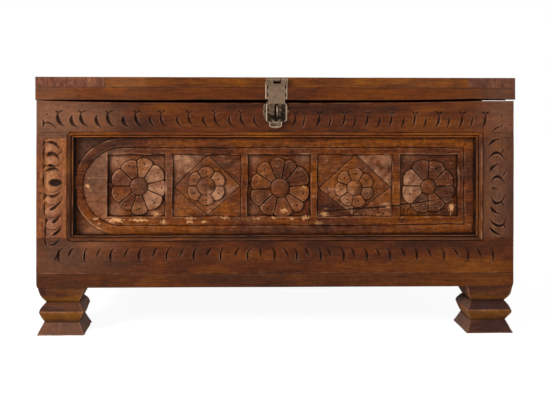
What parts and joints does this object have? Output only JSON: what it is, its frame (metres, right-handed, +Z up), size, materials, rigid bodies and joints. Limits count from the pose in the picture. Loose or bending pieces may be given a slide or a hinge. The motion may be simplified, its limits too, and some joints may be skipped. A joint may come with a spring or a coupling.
{
  "type": "damchiya chest",
  "caption": "Carved wooden storage chest on block feet, with a framed flower panel in front, a back-hinged lid and an iron hasp that drops over a staple.",
  "frame": {"origin": "on the floor, in the middle of the closed chest's outline seen from above, hasp included", "axes": "+Z up, the carved front faces -Y, +X to the viewer's right"},
  "size_m": [1.05, 0.509, 0.562],
  "materials": {
    "foot_wood": "oiled carved hardwood",
    "post_wood": "oiled chip-carved hardwood",
    "rail_wood": "oiled chip-carved hardwood",
    "panel_wood": "old carved hardwood, worn and chipped",
    "moulding_wood": "oiled moulded hardwood",
    "plank_wood": "oiled sawn hardwood",
    "board_wood": "oiled sawn hardwood",
    "peg_wood": "plain turned hardwood",
    "lid_frame_wood": "oiled hardwood",
    "lid_board_wood": "oiled hardwood",
    "nail_iron": "dark forged iron",
    "screw_iron": "dark iron",
    "hinge_iron": "dark iron plate",
    "hasp_iron": "worn grey iron plate",
    "staple_iron": "worn iron wire"
  },
  "bodies": {
    "chest": {"front_left_foot": "foot_wood", "front_left_post": "post_wood", "front_right_foot": "foot_wood", "front_right_post": "post_wood", "back_left_foot": "foot_wood", "back_left_post": "post_wood", "back_right_foot": "foot_wood", "back_right_post": "post_wood", "foot_dowels": "peg_wood", "front_floor_plank": "plank_wood", "front_middle_floor_plank": "plank_wood", "back_middle_floor_plank": "plank_wood", "back_floor_plank": "plank_wood", "plank_nails": "nail_iron", "front_bottom_rail": "rail_wood", "front_top_rail": "rail_wood", "back_bottom_rail": "rail_wood", "back_top_rail": "rail_wood", "left_bottom_rail": "rail_wood", "left_top_rail": "rail_wood", "right_bottom_rail": "rail_wood", "right_top_rail": "rail_wood", "carved_front_panel": "panel_wood", "panel_moulding_top": "moulding_wood", "panel_moulding_bottom": "moulding_wood", "panel_moulding_left": "moulding_wood", "panel_moulding_right": "moulding_wood", "left_lower_board": "board_wood", "left_upper_board": "board_wood", "right_lower_board": "board_wood", "right_upper_board": "board_wood", "back_lower_board": "board_wood", "back_upper_board": "board_wood", "left_hinge_chest_leaf": "hinge_iron", "right_hinge_chest_leaf": "hinge_iron", "hinge_pins": "hinge_iron", "chest_leaf_screws": "screw_iron", "staple_plate": "hasp_iron", "staple": "staple_iron", "staple_plate_screws": "screw_iron"},
    "lid": {"lid_front_rail": "lid_frame_wood", "lid_back_rail": "lid_frame_wood", "lid_left_rail": "lid_frame_wood", "lid_right_rail": "lid_frame_wood", "lid_left_batten": "lid_frame_wood", "lid_right_batten": "lid_frame_wood", "lid_left_end_board": "lid_board_wood", "lid_right_end_board": "lid_board_wood", "lid_front_board": "lid_board_wood", "lid_middle_board": "lid_board_wood", "lid_back_board": "lid_board_wood", "left_hinge_lid_leaf": "hinge_iron", "right_hinge_lid_leaf": "hinge_iron", "lid_leaf_screws": "screw_iron", "lid_nails": "nail_iron", "hasp_fixed_leaf": "hasp_iron", "hasp_pin": "hasp_iron", "hasp_leaf_screws": "screw_iron"},
    "hasp_strap": {"hasp_strap": "hasp_iron"}
  },
  "joints": [
    {"name": "lid_hinge", "type": "hinge", "parent": "chest", "child": "lid", "pos_m": [0, 0.2388, 0.5092], "axis": [-1, 0, 0], "range_deg": [0, 110]},
    {"name": "hasp_hinge", "type": "hinge", "parent": "lid", "child": "hasp_strap", "pos_m": [-0.001, -0.2378, 0.556], "axis": [-1, 0, 0], "range_deg": [0, 170]}
  ]
}
